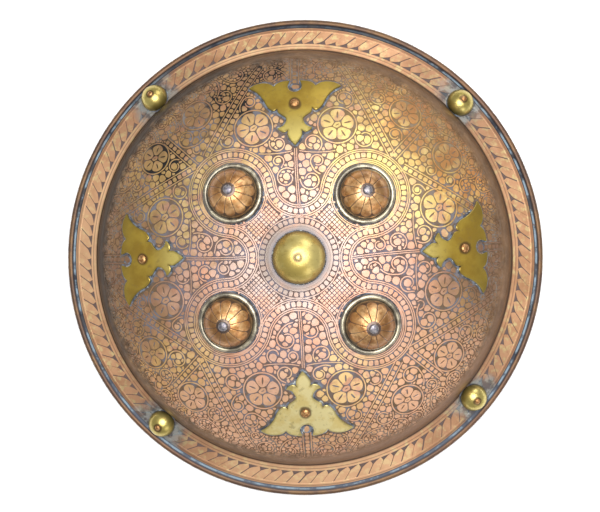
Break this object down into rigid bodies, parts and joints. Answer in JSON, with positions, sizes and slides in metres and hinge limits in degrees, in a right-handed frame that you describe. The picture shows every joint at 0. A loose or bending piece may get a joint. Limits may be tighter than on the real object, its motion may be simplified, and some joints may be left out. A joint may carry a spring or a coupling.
{
  "type": "buckler shield",
  "caption": "Round domed parrying shield of chased copper with a rolled rim, a brass centre boss, petalled bosses, winged brass plates and rim knobs, hollow behind.",
  "frame": {"origin": "on the floor under the middle of the dome, in the plane of the rim's underside", "axes": "+Z out of the dome's front, +Y to the top of the face as pictured, +X to the viewer's right"},
  "size_m": [0.34, 0.34, 0.0889],
  "materials": {
    "aged_copper": "chased copper sheet, rubbed bright on the high parts, dark and blue-grey in the ground",
    "gilt_copper": "raised copper with dark chased petals and a grey-green rolled foot",
    "boss_brass": "rubbed brass",
    "plate_brass": "brushed sheet brass",
    "knob_brass": "rubbed brass, green in the corners",
    "grey_rivet": "greyed rivet head",
    "red_rivet": "copper rivet head"
  },
  "bodies": {
    "root": {"bowl": "aged_copper", "centre_boss": "boss_brass", "centre_boss_rivet": "red_rivet", "petal_boss_upper_right": "gilt_copper", "petal_boss_rivet_upper_right": "grey_rivet", "petal_boss_upper_left": "gilt_copper", "petal_boss_rivet_upper_left": "grey_rivet", "petal_boss_lower_left": "gilt_copper", "petal_boss_rivet_lower_left": "grey_rivet", "petal_boss_lower_right": "gilt_copper", "petal_boss_rivet_lower_right": "grey_rivet", "plate_right": "plate_brass", "plate_rivet_right": "red_rivet", "plate_top": "plate_brass", "plate_rivet_top": "red_rivet", "plate_left": "plate_brass", "plate_rivet_left": "red_rivet", "plate_bottom": "plate_brass", "plate_rivet_bottom": "red_rivet", "rim_knob_upper_right": "knob_brass", "rim_knob_rivet_upper_right": "red_rivet", "rim_knob_upper_left": "knob_brass", "rim_knob_rivet_upper_left": "red_rivet", "rim_knob_lower_left": "knob_brass", "rim_knob_rivet_lower_left": "red_rivet", "rim_knob_lower_right": "knob_brass", "rim_knob_rivet_lower_right": "red_rivet"}
  },
  "joints": []
}
